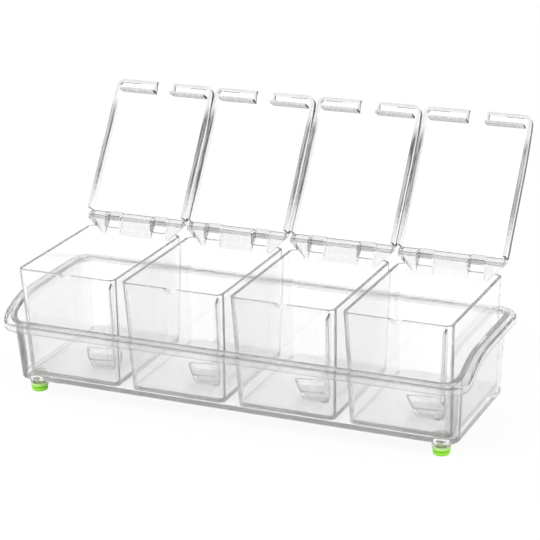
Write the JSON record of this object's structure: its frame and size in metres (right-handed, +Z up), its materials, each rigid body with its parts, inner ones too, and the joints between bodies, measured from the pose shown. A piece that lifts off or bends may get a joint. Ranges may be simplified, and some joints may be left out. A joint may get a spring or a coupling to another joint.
{
  "type": "condiment caddy with flip lids",
  "caption": "Clear tray with an S-curved flanged rim on soft feet, holding a row of lift-out clear boxes with hinged flip lids, notched rims and small spoons",
  "frame": {"origin": "centre of the underside of the bounding box, at the level the feet stand on, with all lids open as pictured", "axes": "+X to the right along the row of boxes seen from the front, +Y to the back where the lids are hinged, +Z up"},
  "size_m": [0.339, 0.1706, 0.186],
  "materials": {
    "tray_clear": "clear colourless polished plastic",
    "box_clear": "clear colourless polished plastic",
    "lid_clear": "clear colourless polished plastic",
    "pin_clear": "clear colourless polished plastic",
    "spoon_clear": "clear colourless polished plastic",
    "foot_rubber": "bright green soft rubber, satin",
    "foot_clear": "clear colourless soft rubber, satin"
  },
  "bodies": {
    "caddy": {"tray": "tray_clear", "foot_front_left": "foot_rubber", "foot_front_right": "foot_rubber", "foot_back_left": "foot_clear", "foot_back_right": "foot_clear"},
    "box_body_1": {"box_1": "box_clear", "hinge_pin_1": "pin_clear"},
    "lid_body_1": {"lid_1": "lid_clear"},
    "spoon_body_1": {"spoon_1": "spoon_clear"},
    "box_body_2": {"box_2": "box_clear", "hinge_pin_2": "pin_clear"},
    "lid_body_2": {"lid_2": "lid_clear"},
    "spoon_body_2": {"spoon_2": "spoon_clear"},
    "box_body_3": {"box_3": "box_clear", "hinge_pin_3": "pin_clear"},
    "lid_body_3": {"lid_3": "lid_clear"},
    "spoon_body_3": {"spoon_3": "spoon_clear"},
    "box_body_4": {"box_4": "box_clear", "hinge_pin_4": "pin_clear"},
    "lid_body_4": {"lid_4": "lid_clear"},
    "spoon_body_4": {"spoon_4": "spoon_clear"}
  },
  "joints": [
    {"name": "box_1_lift", "type": "slide", "parent": "caddy", "child": "box_body_1", "axis": [0, 0, 1], "range_m": [0, 0.08]},
    {"name": "lid_1_hinge", "type": "hinge", "parent": "box_body_1", "child": "lid_body_1", "pos_m": [-0.11695, 0.02806, 0.0973], "axis": [1, 0, 0], "range_deg": [0, 124.5]},
    {"name": "spoon_1_lift", "type": "slide", "parent": "box_body_1", "child": "spoon_body_1", "axis": [0, 0, 1], "range_m": [0, 0.095]},
    {"name": "box_2_lift", "type": "slide", "parent": "caddy", "child": "box_body_2", "axis": [0, 0, 1], "range_m": [0, 0.08]},
    {"name": "lid_2_hinge", "type": "hinge", "parent": "box_body_2", "child": "lid_body_2", "pos_m": [-0.03765, 0.02806, 0.0973], "axis": [1, 0, 0], "range_deg": [0, 124.5]},
    {"name": "spoon_2_lift", "type": "slide", "parent": "box_body_2", "child": "spoon_body_2", "axis": [0, 0, 1], "range_m": [0, 0.095]},
    {"name": "box_3_lift", "type": "slide", "parent": "caddy", "child": "box_body_3", "axis": [0, 0, 1], "range_m": [0, 0.08]},
    {"name": "lid_3_hinge", "type": "hinge", "parent": "box_body_3", "child": "lid_body_3", "pos_m": [0.04165, 0.02806, 0.0973], "axis": [1, 0, 0], "range_deg": [0, 124.5]},
    {"name": "spoon_3_lift", "type": "slide", "parent": "box_body_3", "child": "spoon_body_3", "axis": [0, 0, 1], "range_m": [0, 0.095]},
    {"name": "box_4_lift", "type": "slide", "parent": "caddy", "child": "box_body_4", "axis": [0, 0, 1], "range_m": [0, 0.08]},
    {"name": "lid_4_hinge", "type": "hinge", "parent": "box_body_4", "child": "lid_body_4", "pos_m": [0.12095, 0.02806, 0.0973], "axis": [1, 0, 0], "range_deg": [0, 124.5]},
    {"name": "spoon_4_lift", "type": "slide", "parent": "box_body_4", "child": "spoon_body_4", "axis": [0, 0, 1], "range_m": [0, 0.095]}
  ]
}
